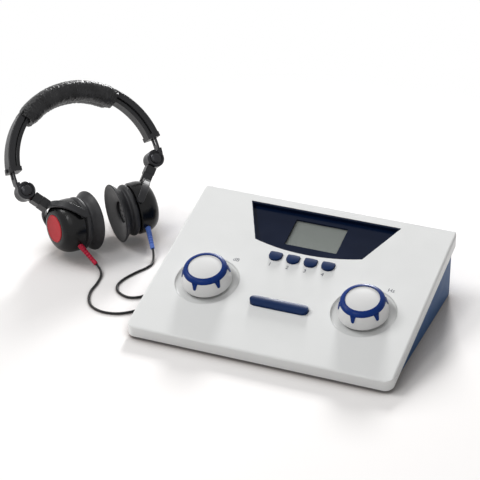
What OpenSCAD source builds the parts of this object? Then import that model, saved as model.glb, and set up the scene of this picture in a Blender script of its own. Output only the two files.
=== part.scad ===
// Screening audiometer: a wedge-shaped desk console with a display, four keys, a tone
// bar and two dials, and a folding headset whose two leads plug into the rear panel.
// Millimetres. Origin: centre of the console's footprint on the table, +Y to the rear
// panel, +Z up. The red side of the headset is the wearer's right ear.

/* [Console shell] */
// Width of the console
console_w = 280; // [272:1:300]
// Depth of the console
console_d = 210; // [206:1:225]
// Height of the sloping face at its front edge
front_h = 14; // [13:0.5:17]
// Height of the sloping face at its rear edge
rear_h = 74; // [71:1:84]
// Height of the front lip's lower edge above the table
lip_gap = 3; // [2.8:0.1:4]
// Height of the cover's skirt at the rear
rear_skirt = 13; // [10:0.5:18]
// Wall of the top cover
cover_wall = 3; // [2.5:0.25:3.5]
// Radius of the cover's upright corners
corner_r = 9; // [6:0.5:10]
// Radius along the cover's top edges
edge_r = 2.5; // [1.5:0.25:3]
// Gap between the base and the cover's skirt
base_gap = 0.6; // [0.3:0.1:1]
// Wall of the base
base_wall = 2.5; // [2:0.25:3]
// Thickness of the base's floor
base_floor = 2.5; // [2:0.25:3]
// Height of the base's underside above the table, on its feet
foot_h = 2; // [1.5:0.25:2.5]
// Diameter of a rubber foot
foot_d = 14; // [10:1:18]
// Depth of the recess that holds a foot
foot_recess = 0.8; // [0.4:0.2:1.2]

/* [Display window] */
// Width of the window along its rear edge
window_w_rear = 166; // [150:1:170]
// Width of the window at its front corners
window_w_front = 117; // [100:1:125]
// Distance of the window's rear edge from the face's rear edge
window_inset = 13; // [11:0.5:16]
// Length of the window's straight sides along the slope
window_l = 54; // [51:0.5:56]
// Bulge of the window's curved front edge
window_bulge = 9; // [5:0.5:10]
// Depth of the window's floor below the face
window_depth = 4.5; // [3.5:0.25:5.5]
// Thickness of the bezel's floor and walls
bezel_wall = 2; // [1.5:0.25:2.5]
// Width of the flange that holds the bezel under the cover
bezel_flange = 3; // [2:0.25:3.25]
// Width of the display opening
display_w = 57; // [50:1:62]
// Height of the display opening along the slope
display_l = 38; // [32:1:40]
// Distance of the display opening from the window's rear edge
display_inset = 11; // [9:0.5:12]

/* [Keys and tone bar] */
// Distance from key to key
key_pitch = 19; // [17:0.5:21]
// Width of a key
key_w = 13.4; // [11:0.2:14]
// Height of a key along the slope
key_l = 11; // [9:0.2:12]
// Gap between the window's front edge and the keys
key_gap = 5.4; // [5:0.1:8]
// Height of a key above the face
key_proud = 2.8; // [2:0.1:4]
// Travel of a key
key_travel = 1.2; // [0.8:0.1:1.5]
// Length of the tone bar
bar_l = 62; // [50:1:70]
// Width of the tone bar
bar_w = 12; // [10:0.5:14]
// Distance of the tone bar from the face's front edge
bar_t = 66.5; // [60:0.5:72]
// Height of the tone bar above the face
bar_proud = 4.2; // [3:0.1:5]
// Travel of the tone bar
bar_travel = 1.5; // [1:0.1:2]

/* [Dials] */
// Distance of a dial's axis from the console's middle
dial_x = 84; // [78:1:90]
// Distance of a dial's axis from the face's front edge
dial_t = 81; // [78:0.5:86]
// Diameter of the dished recess round a dial
dish_d = 68; // [62:1:69]
// Depth of the dished recess
dish_depth = 2.4; // [1.5:0.1:3]
// Diameter of a dial's skirt
skirt_d = 51; // [46:0.5:54]
// Height of the skirt's lower edge above the face
skirt_lift = 1.2; // [0.8:0.1:2]
// Diameter of the grip ring
ring_d = 45.4; // [42:0.2:46]
// Height of the grip ring's lower edge above the face
ring_h = 15.6; // [14:0.2:17]
// Diameter of the dial's cap
cap_d = 34.6; // [30:0.2:37]
// Height of the cap above the face
cap_h = 20.3; // [19.4:0.1:22]
// Number of legs on the grip ring
leg_count = 6; // [4:1:8]
// Length of a leg down the skirt
leg_l = 6.8; // [5:0.1:8]
// Width of a leg where it leaves the ring
leg_w = 6; // [4:0.1:7]
// Diameter of a dial's shaft
shaft_d = 6; // [5:0.25:6.5]

/* [Rear panel] */
// Height of the lead sockets' axes above the table
jack_z = 26; // [22:1:34]
// Distance of the blue lead's socket from the console's side
left_jack_inset = 40; // [36:1:44]
// Distance of the red lead's socket from the blue lead's
jack_pitch = 70; // [66:1:74]
// Diameter of a plug's shank
plug_d = 6.3; // [6:0.05:6.4]
// Distance of the power inlet from the console's other side
inlet_inset = 80; // [70:1:90]
// Distance of the power switch from the console's other side
rocker_inset = 40; // [32:1:48]
// Half of the power switch's rocking angle
rocker_swing = 7; // [5:1:8]

/* [Headset place] */
// Place of the point midway between the ear cushions, along X
headset_x = -244; // [-260:1:-240]
// Place of the point midway between the ear cushions, along Y
headset_y = 62; // [55:1:70]
// Height of that point above the table
headset_z = 33.9; // [33.9:0.1:38]
// Angle by which the headset is turned about the vertical
headset_turn = 52; // [45:1:58]
// Angle by which the headband leans back from the vertical
headset_lean = 38; // [32:1:42]

/* [Headband] */
// Radius of the slider channel's middle along the headband
band_r = 85.3; // [85:0.1:88]
// Height of the headband's centre above the cups' middle
band_z = 61.5; // [60:0.5:64]
// Angle above the horizontal at which each arm ends
arm_end = 9; // [8:0.5:11]
// Depth of the headband's outer layer, front to back
band_depth = 18; // [17:0.5:22]
// Thickness of the outer layer
outer_layer = 7.5; // [7:0.25:9]
// Thickness of the inner layer
inner_layer = 4.7; // [4:0.1:6]
// Width of the groove between the layers
layer_groove = 0.8; // [0.6:0.1:1.2]
// Angle above the horizontal at which the head pad ends
pad_end = 48.5; // [46:0.5:52]
// Thickness of the head pad
pad_h = 23; // [21:0.5:26]
// Depth of the head pad, front to back
pad_depth = 31; // [28:0.5:34]
// Thickness of a slider's steel strip
strip_t = 2; // [1.5:0.1:2.2]
// Width of a slider's steel strip
strip_w = 11; // [10:0.25:11.5]

/* [Earphone arms] */
// How far a folding knuckle lies inside the arch's half width
knuckle_inset = 7.8; // [6.5:0.1:9]
// Height of a folding knuckle above the cups' middle
knuckle_z = 47; // [46:0.5:49]
// Radius of a knuckle's discs
knuckle_r = 9.8; // [9:0.1:10.5]
// Length of the block between the knuckle and the swivel
stem_l = 8.6; // [7:0.1:9]
// Distance of a cup's pivot from the headset's middle
pivot_x = 37.2; // [36.8:0.1:39]
// Inner radius of the fork that holds a cup
fork_r = 31.9; // [31.5:0.1:33]
// Thickness of the fork's strap
fork_t = 3.5; // [3:0.1:4]
// Width of the fork's strap
fork_w = 8; // [7:0.2:9]
// Angle by which a cup is swivelled towards the front
toe_in = 8; // [4:0.5:10]

/* [Earphones] */
// Distance of a cushion's face from the headset's middle
face_x = 15; // [14.4:0.1:16]
// Diameter of the ear cushion
cushion_d = 65; // [62:0.5:65.4]
// Diameter of the hole through the ear cushion
cushion_hole = 24; // [20:1:28]
// Diameter of the cup's shell
shell_d = 57.6; // [55:0.2:58.4]
// Diameter of the earphone capsule
capsule_d = 40; // [36:0.5:41]
// Diameter of the coloured badge
badge_d = 30; // [24:0.5:31]
// Length of a lead's boot
boot_l = 28.7; // [24:0.1:29]

/* [Leads] */
// Diameter of a lead
lead_d = 2.5; // [2.5:0.1:2.6]
// Number of turns in a lead's coil
coil_turns = 9.5; // [8.5:1:11.5]
// Layers in which a coil is piled
coil_layers = 4; // [2, 4]
// Spacing between neighbouring turns and layers
coil_step = 3.1; // [3.1:0.05:3.3]
// Radius of the coil's middle turn
coil_r = 15; // [13.5:0.25:15.5]

/* [Hidden] */
$fn = 72;

// small sizes that several pieces share
fit = 0.3; // running clearance between pieces that move
seat = 0.2; // clearance between pieces that are fixed
cut = 1; // how far a cutting shape runs past a face
far = 400; // longer than anything that it cuts

// the console's faces
slope = atan((rear_h - front_h) / console_d);
face_l = console_d / cos(slope);
front_y = -console_d / 2;
rear_y = console_d / 2;
wall_drop = cover_wall / cos(slope);
inner_w = console_w - 2 * cover_wall;
base_w = inner_w - 2 * base_gap;
base_front = front_y + cover_wall + base_gap;
base_rear = rear_y - cover_wall - base_gap;
base_corner = corner_r - cover_wall;
floor_top = foot_h + base_floor;

// the display
window_rear_t = face_l - window_inset;
window_front_t = window_rear_t - window_l;
window_arc = (pow(window_w_front / 2, 2) + pow(window_bulge, 2)) / (2 * window_bulge);
display_t = window_rear_t - display_inset - display_l / 2;
key_t = window_front_t - window_bulge - key_gap - key_l / 2;
bezel_back = window_depth + bezel_wall;
lens_t = 1.2;
lens_lap = 2.5;
lens_back = bezel_back + lens_t;
lcd_lap = 4.5;
lcd_t = 4.2;

// the stack of pieces below the face
encoder_w = 13;
encoder_h = 7;
bushing_d = shaft_d + 3;
bushing_h = 3.3;
bushing_root = 1;
board_depth = dish_depth + cover_wall + seat + bushing_h + encoder_h;
board_t = 1.6;
board_front = 34;
board_rear = face_l - 18;
board_w = 214;
flange_w = 1.5;
flange_t = 1.4;
stem_end = 10;
guide_d = 4;
key_switch_w = key_w - 6.9;
tone_switch_w = bar_w;
switch_gap = 0.15;
post_d = 7;
screw_d = 2.9;
screw_head_d = 5.6;
base_screw_l = 9;
screw_head_h = 2;
post_x = 98;
post_rows = [44, 122, board_rear - 7];

// the base's screws
base_screw_x = console_w / 2 - 17;
base_screw_y = [front_y + 15, rear_y - 17];
base_boss_h = 2;
column_d = 9;
counterbore_h = 2.4;
counterbore_d = 6.6;
foot_x = console_w / 2 - 32;
foot_y = [front_y + 15, rear_y - 17];

// the dials
crown_r = 120;
dish_slope = 3;
skirt_wall = 2.2;
hub_r = 8;
ring_slope = 4;
leg_t = 0.7;
leg_turn = -96;

// the rear panel
left_jack_x = left_jack_inset - console_w / 2;
right_jack_x = left_jack_x + jack_pitch;
inlet_x = console_w / 2 - inlet_inset;
rocker_x = console_w / 2 - rocker_inset;
jack_hole = 11.2;
jack_body = [15, 24, 15];
jack_nut_d = 15;
jack_nut_t = 2.2;
handle_d = 12.5;
handle_l = 36;
plug_boot_l = 10;
plug_tip_l = 6.4;
plug_l = 27;
inlet_hole = 8;
inlet_pin = 2.1;
inlet_bore = 5.5;
inlet_body = [11, 14, 11];
rocker_hole = [19.4, 13];
rocker_frame = [23, 16];
rocker_frame_t = 1.6;
rocker_sink = 3;
rocker_body_l = 13;
rocker_d = 14;
rocker_w = 10.4;
rocker_z = 30;

// the headset
channel_r = [band_r - strip_t / 2 - fit, band_r + strip_t / 2 + fit];
channel_w = strip_w + 2 * fit;
outer_r0 = band_r - outer_layer / 2 + 0.95;
outer_r1 = outer_r0 + outer_layer;
inner_r1 = outer_r0 - layer_groove;
inner_r0 = inner_r1 - inner_layer;
collar_arc = 3.5;
collar_wall = 0.7;
collar_r = [inner_r0 - collar_wall, outer_r1 + collar_wall];
slide_in = 8;
slide_out = 10;
strip_in = 17;
strip_from = 6.5;
neck_to = 7.8;
knuckle_x = band_r - knuckle_inset;
knuckle_a = atan2(knuckle_z - band_z, knuckle_x);
arm_reach = norm([knuckle_x - pivot_x, knuckle_z]);
arm_a = atan2(knuckle_z, knuckle_x - pivot_x);
disc_t = 7.6;
pin_d = 5;
pin_clear = 0.15;
swivel_gap = 0.3;
swivel_pin_l = 7;
stem_w = 11;
pivot_d = 4;
pivot_l = 5.5;
shell_u = 20.1;
shell_band_l = 7.4;
dome_l = 16.5;
dome_r = 16;
shell_wall = 3;
cushion_web = 9;
badge_sink = 0.8;
badge_t = 1.6;
boot_from = [4.8, -9.5, -26];
boot_to = [-1.2, -18.7, -52.5];
boot_root_l = 4;
boot_r = [3, 2.3];

// the coils lie behind the rear panel, each beside its plug
coil_y = rear_y + 37;
coil_offset = 35;
lead_r = lead_d / 2;
coil_per_layer = coil_turns / coil_layers;
coil_rings = 24;
coil_ring_sides = 6;
lead_sides = 8;

// the red lead's route on the table, from its boot to its coil
right_route = [
    [-219.6, 1.4, 4.2], [-216.4, -3.2, 2.1], [-214.4, -10, 1.3], [-212.6, -22, 1.3],
    [-211.5, -38, 1.3], [-207, -52, 1.3], [-199.5, -63, 1.3], [-190, -69, 1.3],
    [-178, -71, 1.3], [-164, -67, 1.3], [-151, -55, 1.3], [-145.5, -40, 1.3],
    [-145.2, 30, 1.3], [-145.5, 70, 1.3], [-144, 95, 1.3], [-134, 109, 1.3],
    [-116, 113.5, 1.3], [-90, 113.5, 1.3], [-40, 113.5, 1.3], [-25, 116, 1.3],
    [-12, 122, 1.3]
];
// the blue lead's route on the table, from its boot to its coil
left_route = [
    [-180.2, 51.2, 4.2], [-177.9, 45, 2], [-176.6, 38, 1.3], [-178.8, 28, 1.3],
    [-184.5, 15.5, 1.3], [-190, -0.5, 1.3], [-191.5, -13, 1.3], [-188.5, -23, 1.3],
    [-182, -30, 1.3], [-169.5, -34.3, 1.3], [-157.5, -27, 1.3], [-152, -8, 1.3],
    [-151, 65, 1.3], [-150, 95, 1.3], [-143, 112, 1.3], [-126, 121.5, 1.3],
    [-100, 124.5, 1.3]
];
// a tail's route from its coil to its plug, counted from the plug's axis at the rear panel
tail_route = [
    [24, 56, 0], [14, 61, 3], [6, 65.5, 8], [0.8, 65.5, 13], [0, 60, 15.5]
];

// where a point of the headset's own frame lies on the table
function headset_point(p) =
    let (y = p.y * cos(headset_lean) + p.z * sin(headset_lean))
    [
        headset_x + p.x * cos(headset_turn) - y * sin(headset_turn),
        headset_y + p.x * sin(headset_turn) + y * cos(headset_turn),
        headset_z - p.y * sin(headset_lean) + p.z * cos(headset_lean)
    ];

// where a point lies that is measured from a cup's pivot before the cup is swivelled
function cup_point(side, p) =
    let (
        k = [cos(arm_a), 0, sin(arm_a)],
        v = p * cos(-toe_in) + cross(k, p) * sin(-toe_in) + k * (k * p) * (1 - cos(toe_in))
    )
    headset_point([side * (pivot_x + v.x), v.y, v.z]);

function lerp(a, b, u) = a + (b - a) * u;
function unit(v) = v / norm(v);
function clamp01(u) = min(1, max(0, u));
function smooth(u) = u * u * (3 - 2 * u);

// points on an arc, for outlines that are turned or extruded
function arc(c, r, a0, a1, n) = oval(c, r, r, a0, a1, n);
function oval(c, rx, ry, a0, a1, n) =
    [for (i = [0:n]) c + [rx * cos(lerp(a0, a1, i / n)), ry * sin(lerp(a0, a1, i / n))]];

// a smooth curve through a route's points, with a few steps to each stretch
function spline_at(p, i, u) =
    let (
        a = p[max(0, i - 1)],
        b = p[i],
        c = p[i + 1],
        d = p[min(len(p) - 1, i + 2)]
    )
    b + 0.5 * u * (c - a + u * (2 * a - 5 * b + 4 * c - d + u * (3 * b - a - 3 * c + d)));
function spline(p, steps) = concat(
    [for (i = [0:len(p) - 2]) for (k = [0:steps - 1]) spline_at(p, i, k / steps)],
    [p[len(p) - 1]]
);
function path_length(p) = len(p) < 2 ? 0 : [for (i = 1, s = norm(p[1] - p[0]); i < len(p);
    i = i + 1, s = s + (i < len(p) ? norm(p[i] - p[i - 1]) : 0)) s][len(p) - 2];

// a tube swept along points, its end faces square to the given end directions
module tube(p, r, sides, from = undef, to = undef) {
    last = len(p) - 1;
    dirs = [for (i = [0:last]) unit(
        i == 0 && from != undef ? from :
        i == last && to != undef ? to :
        p[min(last, i + 1)] - p[max(0, i - 1)])];
    points = [for (i = [0:last])
        let (a = unit(cross([0, 0, 1], dirs[i])), b = cross(dirs[i], a))
        for (k = [0:sides - 1]) p[i] + r * (cos(360 * k / sides) * a + sin(360 * k / sides) * b)];
    walls = [for (i = [0:last - 1]) for (k = [0:sides - 1])
        let (a = i * sides + k, b = i * sides + (k + 1) % sides)
        each [[a, a + sides, b], [b, a + sides, b + sides]]];
    ends = [for (k = [1:sides - 2])
        each [[0, k, k + 1], [last * sides, last * sides + k + 1, last * sides + k]]];
    polyhedron(concat(walls == [] ? [] : points), concat(walls, ends), convexity = 10);
}

// ---- console: frames and outlines ----

// puts its children on the sloping face, s to the right, t up from the front edge
module on_face(s, t, depth = 0) {
    translate([0, front_y, front_h])
        rotate([slope, 0, 0])
            translate([s, t, -depth])
                children();
}

// a plate that runs from one depth below the face to another, negative above it
module face_plate(s, t, from, to) {
    on_face(s, t, to)
        linear_extrude(to - from)
            children();
}

module round_rect(w, d, r) {
    square([w - 2 * r, d], center = true);
    square([w, d - 2 * r], center = true);
    for (x = [-1, 1])
        for (y = [-1, 1])
            translate([x * (w / 2 - r), y * (d / 2 - r)])
                circle(r, $fn = 24);
}

// the cover's outer profile from the side, with its two upper corners rounded
module cover_profile() {
    front_c = [front_y + edge_r, front_h + edge_r * tan(slope) - edge_r / cos(slope)];
    rear_c = [rear_y - edge_r, rear_h - edge_r * tan(slope) - edge_r / cos(slope)];
    polygon(concat(
        [[front_y, lip_gap]],
        arc(front_c, edge_r, 180, 90 + slope, 6),
        arc(rear_c, edge_r, 90 + slope, 0, 6),
        [[rear_y, rear_h - rear_skirt]]
    ));
}

// a profile between two depths below the face, down to a given height at its foot
module wedge_profile(y0, y1, drop, foot) {
    function top(y) = front_h + (y - front_y) * tan(slope) - drop;
    polygon([[y0, foot], [y0, top(y0)], [y1, top(y1)], [y1, foot]]);
}

module across(w) {
    rotate([90, 0, 90])
        linear_extrude(w, center = true)
            children();
}

module window_outline(grow) {
    intersection() {
        polygon([
            [-window_w_rear / 2 - grow, window_rear_t + grow],
            [window_w_rear / 2 + grow, window_rear_t + grow],
            [window_w_front / 2 + grow, window_front_t],
            [window_w_front / 2 + grow, window_front_t - window_bulge - grow],
            [-window_w_front / 2 - grow, window_front_t - window_bulge - grow],
            [-window_w_front / 2 - grow, window_front_t]
        ]);
        translate([0, window_front_t - window_bulge + window_arc])
            circle(window_arc + grow, $fn = 360);
    }
}

module key_outline(grow) {
    r = key_l * 0.66;
    intersection() {
        translate([0, r - key_l / 2])
            circle(r + grow);
        square([key_w + 2 * grow, key_l + 2 * grow], center = true);
    }
}

module bar_outline(grow) {
    square([bar_l - bar_w, bar_w + 2 * grow], center = true);
    for (x = [-1, 1])
        translate([x * (bar_l - bar_w) / 2, 0])
            circle(bar_w / 2 + grow);
}

function key_s(i) = (i - 1.5) * key_pitch;

// ---- console: shells ----

module top_cover() {
    color("#e9eae8")
    difference() {
        union() {
            difference() {
                intersection() {
                    across(console_w) cover_profile();
                    linear_extrude(far) round_rect(console_w, console_d, corner_r);
                    on_face(0, face_l + cut)
                        rotate([90, 0, 0])
                            linear_extrude(face_l + far)
                                edge_section();
                }
                intersection() {
                    across(inner_w)
                        wedge_profile(front_y + cover_wall, rear_y - cover_wall, wall_drop, -cut);
                    translate([0, 0, -2 * cut])
                        linear_extrude(far)
                            round_rect(inner_w, console_d - 2 * cover_wall, base_corner);
                }
            }
            for (x = [-1, 1])
                on_face(x * dial_x, dial_t, dish_depth + cover_wall)
                    cylinder(h = dish_depth + cover_wall / 2, d = dish_d + 2);
            for (x = [-1, 1])
                for (t = post_rows)
                    on_face(x * post_x, t, board_depth)
                        cylinder(h = board_depth - cover_wall / 2, d = post_d);
            for (x = [-1, 1])
                for (y = base_screw_y)
                    cover_column(x * base_screw_x, y);
        }
        for (x = [-1, 1])
            on_face(x * dial_x, dial_t)
                dish_cut();
        for (x = [-1, 1])
            for (t = post_rows)
                on_face(x * post_x, t, board_depth + cut)
                    cylinder(h = 8, d = screw_d + 0.1);
        for (x = [-1, 1])
            for (y = base_screw_y)
                translate([x * base_screw_x, y, 0])
                    cylinder(h = floor_top + base_boss_h + 7, d = screw_d + 0.1);
        face_plate(0, 0, -cut, cover_wall + cut) window_outline(0);
        for (i = [0:3])
            face_plate(key_s(i), key_t, -cut, cover_wall + cut) key_outline(fit);
        face_plate(0, bar_t, -cut, cover_wall + cut) bar_outline(fit);
    }
}

// the cover's section across the slope, with its two upper edges rounded
module edge_section() {
    translate([-console_w / 2, -far])
        square([console_w, far - edge_r]);
    translate([edge_r - console_w / 2, -far])
        square([console_w - 2 * edge_r, far]);
    for (x = [-1, 1])
        translate([x * (console_w / 2 - edge_r), -edge_r])
            circle(edge_r);
}

module dish_cut() {
    rotate_extrude()
        polygon(concat(
            [[0, cut], [dish_d / 2 + cut, cut], [dish_d / 2, 0]],
            arc([dish_d / 2 - dish_slope, 0], dish_slope * 0.8, 0, -90, 5),
            [[0, -dish_depth]]
        ));
    translate([0, 0, -far / 2])
        cylinder(h = far / 2, d = shaft_d + 1);
}

// a column that runs down from the cover to the base, for one screw
module cover_column(x, y) {
    intersection() {
        translate([x, y, floor_top + base_boss_h + seat])
            cylinder(h = far, d = column_d);
        across(inner_w)
            wedge_profile(front_y + cover_wall / 2, rear_y - cover_wall / 2, wall_drop / 2, 0);
    }
}

module base_shell() {
    color("#36537f")
    difference() {
        union() {
            difference() {
                intersection() {
                    across(base_w) wedge_profile(base_front, base_rear, wall_drop, foot_h);
                    linear_extrude(far) round_rect(base_w, base_rear - base_front, base_corner);
                }
                intersection() {
                    across(base_w - 2 * base_wall)
                        wedge_profile(base_front + base_wall, base_rear - base_wall, -far, floor_top);
                }
            }
            for (x = [-1, 1])
                for (y = base_screw_y)
                    translate([x * base_screw_x, y, foot_h])
                        cylinder(h = base_floor + base_boss_h, d = column_d + 4);
        }
        for (x = [-1, 1])
            for (y = base_screw_y)
                translate([x * base_screw_x, y, 0]) {
                    cylinder(h = far / 2, d = screw_d + 0.4);
                    cylinder(h = foot_h + counterbore_h, d = counterbore_d);
                }
        for (x = [-1, 1])
            for (y = foot_y)
                translate([x * foot_x, y, 0])
                    cylinder(h = foot_h + foot_recess, d = foot_d + seat);
        for (x = [left_jack_x, right_jack_x])
            translate([x, base_rear + cut, jack_z])
                rotate([90, 0, 0])
                    cylinder(h = base_wall + 2 * cut, d = jack_hole);
        translate([inlet_x, base_rear + cut, jack_z])
            rotate([90, 0, 0])
                cylinder(h = base_wall + 2 * cut, d = inlet_hole + seat);
        translate([rocker_x, base_rear - base_wall / 2, rocker_z])
            cube([rocker_hole.x, base_wall + 2 * cut, rocker_hole.y], center = true);
    }
}

module feet() {
    color("#2b2c2e")
    for (x = [-1, 1])
        for (y = foot_y)
            translate([x * foot_x, y, 0])
                cylinder(h = foot_h + foot_recess, d = foot_d);
}

module base_screws() {
    color("#b9bcc0")
    for (x = [-1, 1])
        for (y = base_screw_y)
            translate([x * base_screw_x, y, foot_h + counterbore_h - screw_head_h]) {
                difference() {
                    cylinder(h = screw_head_h, d = screw_head_d);
                    translate([0, 0, -cut])
                        cylinder(h = cut + 1.2, d = 2.4, $fn = 6);
                }
                cylinder(h = screw_head_h + base_screw_l, d = screw_d);
            }
}

// ---- console: display and board ----

module display_bezel() {
    color("#1c2f55")
    difference() {
        union() {
            face_plate(0, 0, seat, bezel_back) window_outline(-seat);
            face_plate(0, 0, cover_wall, bezel_back) window_outline(bezel_flange);
        }
        face_plate(0, 0, -cut, window_depth) window_outline(-seat - bezel_wall);
        face_plate(0, display_t, 0, bezel_back + cut)
            square([display_w, display_l], center = true);
    }
}

module display_lens() {
    color([0.75, 0.8, 0.78, 0.5])
    face_plate(0, display_t, bezel_back, lens_back)
        square([display_w + 2 * lens_lap, display_l + 2 * lens_lap], center = true);
}

module lcd_module() {
    color("#97a099") {
        difference() {
            face_plate(0, display_t, lens_back + seat, lens_back + seat + lcd_t)
                square([display_w + 2 * lcd_lap, display_l + 2 * lcd_lap], center = true);
            face_plate(0, display_t, lens_back, lens_back + seat + 0.8)
                square([display_w + 1, display_l + 1], center = true);
        }
        for (x = [-1, 1])
            for (y = [-1, 1])
                face_plate(x * display_w / 2, display_t + y * display_l / 2, lens_back + 2, board_depth)
                    circle(2);
    }
}

module main_board() {
    color("#2f6b43")
    difference() {
        face_plate(0, (board_front + board_rear) / 2, board_depth, board_depth + board_t)
            square([board_w, board_rear - board_front], center = true);
        for (x = [-1, 1])
            for (t = post_rows)
                face_plate(x * post_x, t, board_depth - cut, board_depth + board_t + cut)
                    circle(d = screw_d + 0.4);
    }
}

module board_screws() {
    color("#b9bcc0")
    for (x = [-1, 1])
        for (t = post_rows)
            on_face(x * post_x, t, board_depth + board_t + screw_head_h) {
                cylinder(h = screw_head_h, d = screw_head_d);
                cylinder(h = screw_head_h + board_t + 5.5, d = screw_d);
            }
}

// a push switch on the board, its plunger just short of the pressed stem
module push_switch(s, t, w, travel) {
    plunger = stem_end + travel + switch_gap;
    face_plate(s, t, plunger + 1, board_depth)
        square([w, w], center = true);
    face_plate(s, t, plunger, board_depth)
        circle(d = guide_d);
}

module key_switches() {
    color("#1d1e20")
    for (i = [0:3])
        push_switch(key_s(i), key_t, key_switch_w, key_travel);
}

module tone_switch() {
    color("#1d1e20")
    push_switch(0, bar_t, tone_switch_w, bar_travel);
}

module key_button(i) {
    crown = 34;
    color("#222c6e")
    intersection() {
        union() {
            face_plate(key_s(i), key_t, -key_proud, cover_wall + fit + flange_t) key_outline(0);
            face_plate(key_s(i), key_t, cover_wall + fit, cover_wall + fit + flange_t)
                key_outline(flange_w);
            face_plate(key_s(i), key_t, cover_wall, stem_end) circle(d = guide_d);
        }
        on_face(key_s(i), key_t, crown - key_proud)
            sphere(crown);
    }
}

module tone_bar() {
    crown = 11;
    color("#222c6e")
    intersection() {
        union() {
            face_plate(0, bar_t, -bar_proud, cover_wall + fit + flange_t) bar_outline(0);
            face_plate(0, bar_t, cover_wall + fit, cover_wall + fit + flange_t)
                bar_outline(flange_w);
            face_plate(0, bar_t, cover_wall, stem_end) circle(d = guide_d);
        }
        on_face(-bar_l, bar_t, crown - bar_proud)
            rotate([0, 90, 0])
                cylinder(h = 2 * bar_l, r = crown + 0.02);
    }
}

// ---- console: dials ----

// radius of the skirt's outer surface at a height above the face
function skirt_r(h) =
    let (u = clamp01((h - skirt_lift) / (ring_h - skirt_lift)))
    lerp(skirt_d / 2, ring_d / 2, pow(u, 1.6));
function skirt_line(n, grow, h0, h1) =
    [for (i = [0:n]) let (h = lerp(h0, h1, i / n)) [skirt_r(h) + grow, h]];

module on_dial(x) {
    on_face(x, dial_t)
        children();
}

module dial_skirt(x) {
    color("#e6e7e6")
    on_dial(x)
        difference() {
            rotate_extrude()
                polygon(concat(
                    [[shaft_d / 2 + 0.05, skirt_lift + 1]],
                    [[hub_r, skirt_lift + 1], [hub_r, ring_h - 4]],
                    [[ring_d / 2 - skirt_wall, ring_h - 4], [skirt_d / 2 - skirt_wall, skirt_lift]],
                    [[skirt_d / 2 - 0.5, skirt_lift - 0.3]],
                    skirt_line(8, 0, skirt_lift, ring_h),
                    [[cap_d / 2 - 1, ring_h], [cap_d / 2 - 1, ring_h - 1]],
                    [[shaft_d / 2 + 0.05, ring_h - 1]]
                ));
        }
}

module dial_ring(x) {
    color("#1e3a8c")
    on_dial(x) {
        rotate_extrude()
            polygon(concat(
                [[cap_d / 2 + 0.1, ring_h]],
                [[ring_d / 2, ring_h]],
                oval([cap_d / 2 + 0.1, ring_h + 0.4], ring_d / 2 - cap_d / 2 - 0.1, ring_slope, 0, 90, 6)
            ));
        for (i = [0:leg_count - 1])
            rotate(leg_turn + i * 360 / leg_count)
                ring_leg();
    }
}

// a tapering leg that lies on the skirt
module ring_leg() {
    tip = leg_w * 0.28;
    intersection() {
        rotate_extrude()
            polygon(concat(
                skirt_line(6, 0.05, ring_h - leg_l, ring_h + 0.2),
                [for (q = skirt_line(6, leg_t, ring_h + 0.2, ring_h - leg_l)) q]
            ));
        rotate([90, 0, 90])
            linear_extrude(far)
                leg_outline(tip);
    }
}

module leg_outline(tip) {
    low = ring_h - leg_l + tip;
    polygon([
        [-leg_w / 2, ring_h + cut], [leg_w / 2, ring_h + cut], [leg_w / 2, ring_h],
        [tip * 1.35, ring_h - leg_l * 0.3], [tip, low], [-tip, low],
        [-tip * 1.35, ring_h - leg_l * 0.3], [-leg_w / 2, ring_h]
    ]);
    translate([0, low])
        circle(tip);
}

module dial_cap(x) {
    color("#e6e7e6")
    on_dial(x)
        intersection() {
            union() {
                translate([0, 0, ring_h])
                    cylinder(h = cap_h - ring_h + cut, d = cap_d);
                translate([0, 0, ring_h - 1])
                    cylinder(h = 2, d = cap_d - 2 - seat);
            }
            translate([0, 0, cap_h - crown_r])
                sphere(crown_r, $fn = 120);
        }
}

module dial_shaft(x) {
    color("#a9adb1")
    on_dial(x)
        translate([0, 0, -board_depth + encoder_h])
            cylinder(h = board_depth - encoder_h + ring_h - 1 - seat, d = shaft_d);
}

module encoder(x) {
    color("#3a3d40")
    difference() {
        union() {
            face_plate(x, dial_t, board_depth - encoder_h, board_depth)
                square([encoder_w, encoder_w], center = true);
            on_face(x, dial_t, board_depth - encoder_h + bushing_root)
                cylinder(h = bushing_root + bushing_h, d = bushing_d);
        }
        on_face(x, dial_t, board_depth - encoder_h + fit)
            cylinder(h = bushing_h + fit + cut, d = shaft_d + fit);
    }
}

// ---- console: rear panel ----

module phone_jack(x) {
    color("#2a2c2f")
    difference() {
        union() {
            translate([x, base_rear - base_wall - jack_body.y / 2, jack_z])
                cube(jack_body, center = true);
            translate([x, base_rear + jack_nut_t, jack_z])
                rotate([90, 0, 0]) {
                    cylinder(h = jack_nut_t, d = jack_nut_d, $fn = 6);
                    cylinder(h = jack_nut_t + base_wall + cut, d = jack_hole - 2 * seat);
                }
        }
        translate([x, base_rear + jack_nut_t + cut, jack_z])
            rotate([90, 0, 0])
                cylinder(h = jack_body.y + base_wall + jack_nut_t - cut, d = plug_d + seat);
    }
}

module power_inlet() {
    color("#1d1e20") {
        difference() {
            union() {
                translate([inlet_x, base_rear - base_wall - inlet_body.y / 2, jack_z])
                    cube(inlet_body, center = true);
                translate([inlet_x, base_rear + 1, jack_z])
                    rotate([90, 0, 0])
                        cylinder(h = base_wall + 2, d = inlet_hole);
                translate([inlet_x, base_rear + 1, jack_z])
                    rotate([90, 0, 0])
                        cylinder(h = 1, d = inlet_hole + 2);
            }
            translate([inlet_x, base_rear + 1 + cut, jack_z])
                rotate([90, 0, 0])
                    cylinder(h = 11 + cut, d = inlet_bore);
        }
        translate([inlet_x, base_rear - 1, jack_z])
            rotate([90, 0, 0])
                cylinder(h = 12, d = inlet_pin);
    }
}

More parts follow.
